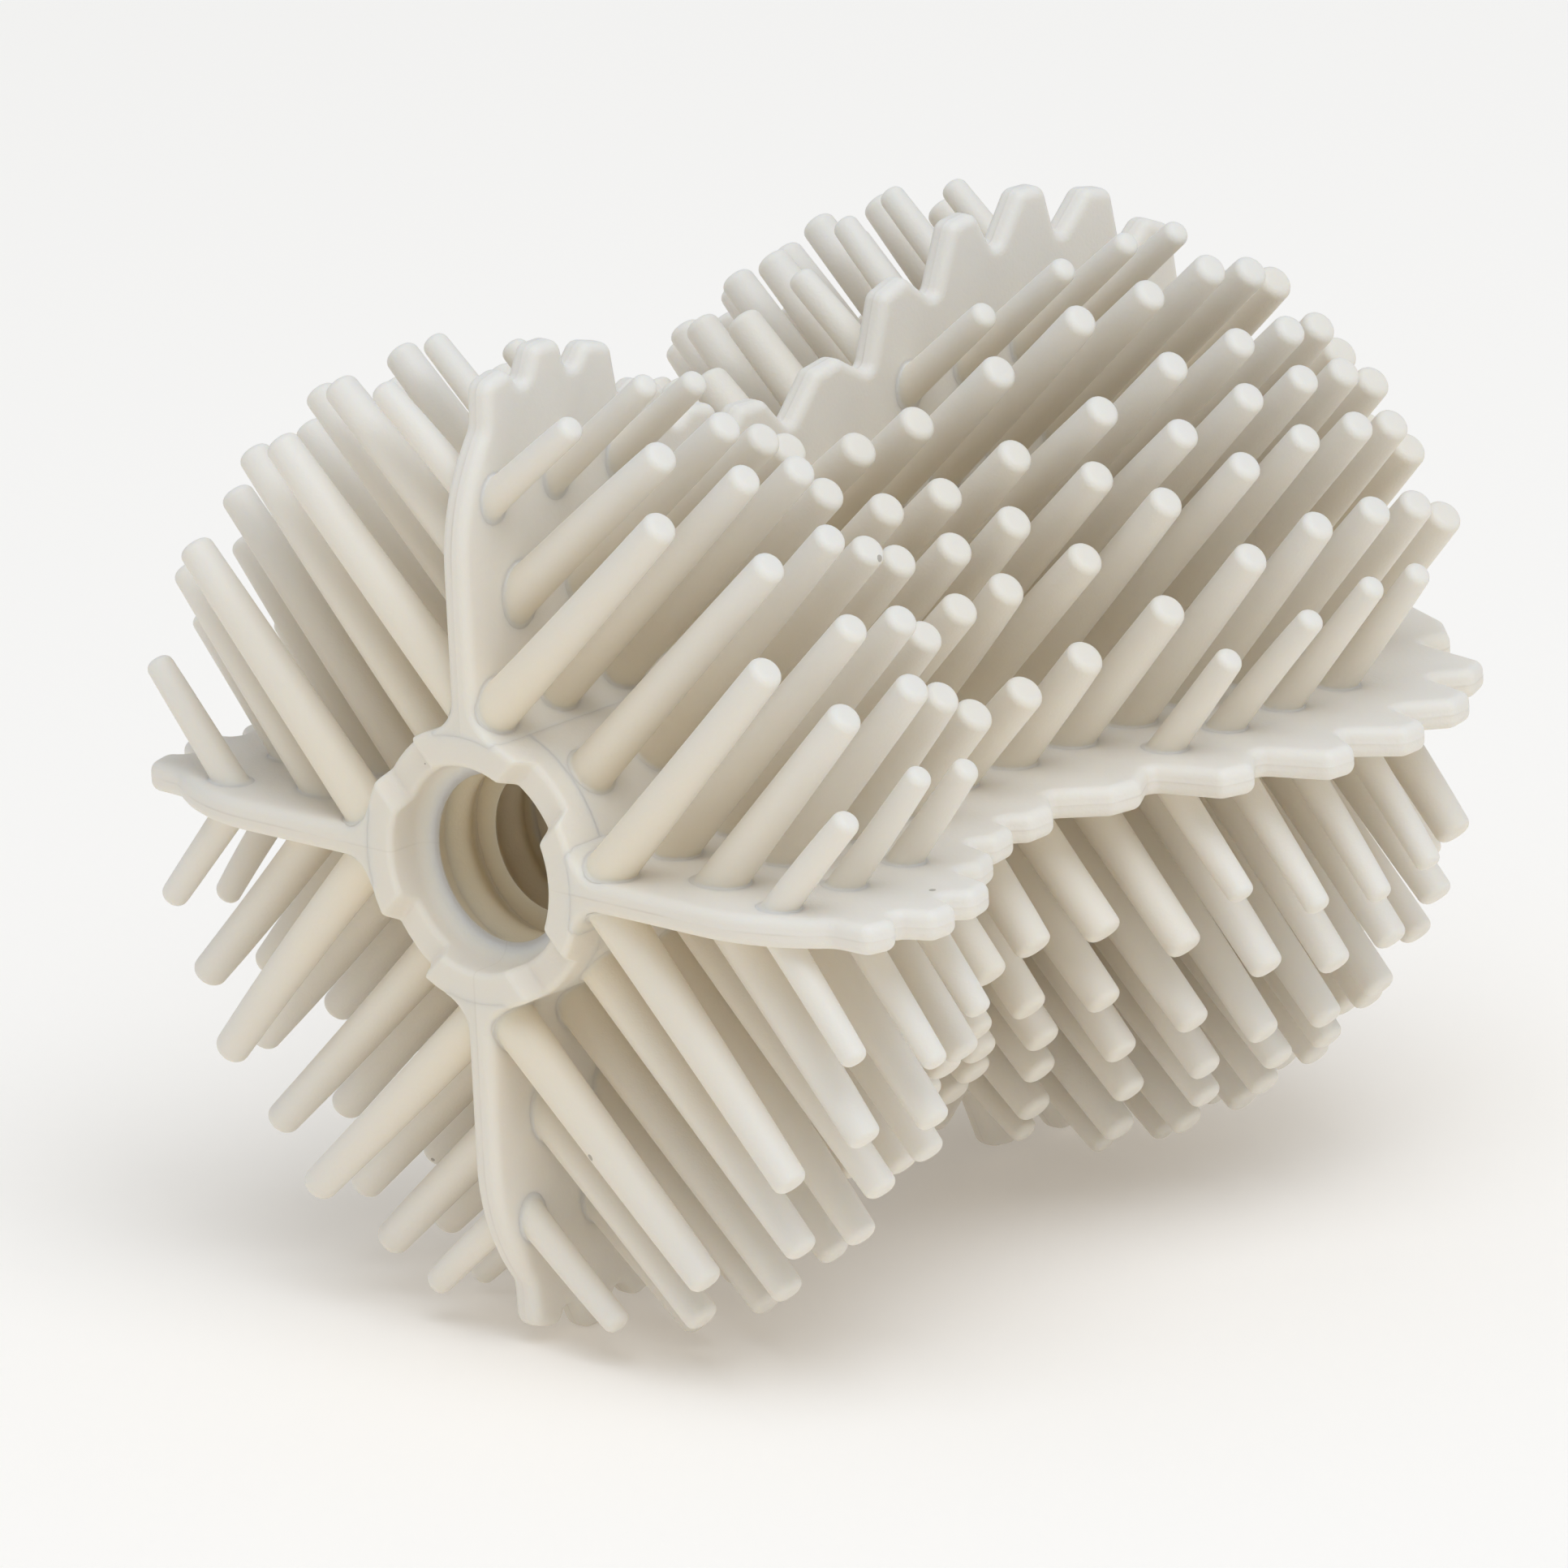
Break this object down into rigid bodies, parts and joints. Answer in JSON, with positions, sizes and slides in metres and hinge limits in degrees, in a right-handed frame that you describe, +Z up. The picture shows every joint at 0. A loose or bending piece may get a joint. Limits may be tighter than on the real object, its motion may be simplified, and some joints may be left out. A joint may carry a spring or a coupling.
{
  "type": "rotary brush roller",
  "caption": "Hourglass rotary brush roller in ivory elastomer: bored hub with notched collars, four toothed fins and rows of tapered pins between them.",
  "frame": {"origin": "middle of the roller's axis, halfway between its two end faces", "axes": "+Y along the axis of rotation from the front end towards the longer rear lobe; +Z up along the top fin; +X along the right fin"},
  "size_m": [0.103, 0.12, 0.103],
  "materials": {
    "hub_elastomer": "matte ivory moulded elastomer",
    "fin_elastomer": "matte ivory moulded elastomer",
    "pin_elastomer": "matte ivory moulded elastomer",
    "bore_elastomer": "matte ivory moulded elastomer"
  },
  "bodies": {
    "root": {"bottom_fin": "fin_elastomer", "bottom_left_front_pins_by_level_fin": "pin_elastomer", "bottom_left_front_pins_by_upright_fin": "pin_elastomer", "bottom_left_front_pins_center": "pin_elastomer", "bottom_left_front_pins_on_level_fin": "pin_elastomer", "bottom_left_front_pins_on_upright_fin": "pin_elastomer", "bottom_left_rear_pins_by_level_fin": "pin_elastomer", "bottom_left_rear_pins_by_upright_fin": "pin_elastomer", "bottom_left_rear_pins_center": "pin_elastomer", "bottom_left_rear_pins_on_level_fin": "pin_elastomer", "bottom_left_rear_pins_on_upright_fin": "pin_elastomer", "bottom_right_front_pins_by_level_fin": "pin_elastomer", "bottom_right_front_pins_by_upright_fin": "pin_elastomer", "bottom_right_front_pins_center": "pin_elastomer", "bottom_right_front_pins_on_level_fin": "pin_elastomer", "bottom_right_front_pins_on_upright_fin": "pin_elastomer", "bottom_right_rear_pins_by_level_fin": "pin_elastomer", "bottom_right_rear_pins_by_upright_fin": "pin_elastomer", "bottom_right_rear_pins_center": "pin_elastomer", "bottom_right_rear_pins_on_level_fin": "pin_elastomer", "bottom_right_rear_pins_on_upright_fin": "pin_elastomer", "front_chamber_wall": "hub_elastomer", "front_collar": "hub_elastomer", "front_inner_lip": "bore_elastomer", "front_outer_lip": "bore_elastomer", "front_seal_rib": "bore_elastomer", "hub_sleeve": "hub_elastomer", "left_fin": "fin_elastomer", "rear_chamber_wall": "hub_elastomer", "rear_collar": "hub_elastomer", "rear_inner_lip": "bore_elastomer", "rear_outer_lip": "bore_elastomer", "rear_seal_rib": "bore_elastomer", "right_fin": "fin_elastomer", "top_fin": "fin_elastomer", "top_left_front_pins_by_level_fin": "pin_elastomer", "top_left_front_pins_by_upright_fin": "pin_elastomer", "top_left_front_pins_center": "pin_elastomer", "top_left_front_pins_on_level_fin": "pin_elastomer", "top_left_front_pins_on_upright_fin": "pin_elastomer", "top_left_rear_pins_by_level_fin": "pin_elastomer", "top_left_rear_pins_by_upright_fin": "pin_elastomer", "top_left_rear_pins_center": "pin_elastomer", "top_left_rear_pins_on_level_fin": "pin_elastomer", "top_left_rear_pins_on_upright_fin": "pin_elastomer", "top_right_front_pins_by_level_fin": "pin_elastomer", "top_right_front_pins_by_upright_fin": "pin_elastomer", "top_right_front_pins_center": "pin_elastomer", "top_right_front_pins_on_level_fin": "pin_elastomer", "top_right_front_pins_on_upright_fin": "pin_elastomer", "top_right_rear_pins_by_level_fin": "pin_elastomer", "top_right_rear_pins_by_upright_fin": "pin_elastomer", "top_right_rear_pins_center": "pin_elastomer", "top_right_rear_pins_on_level_fin": "pin_elastomer", "top_right_rear_pins_on_upright_fin": "pin_elastomer"}
  },
  "joints": []
}
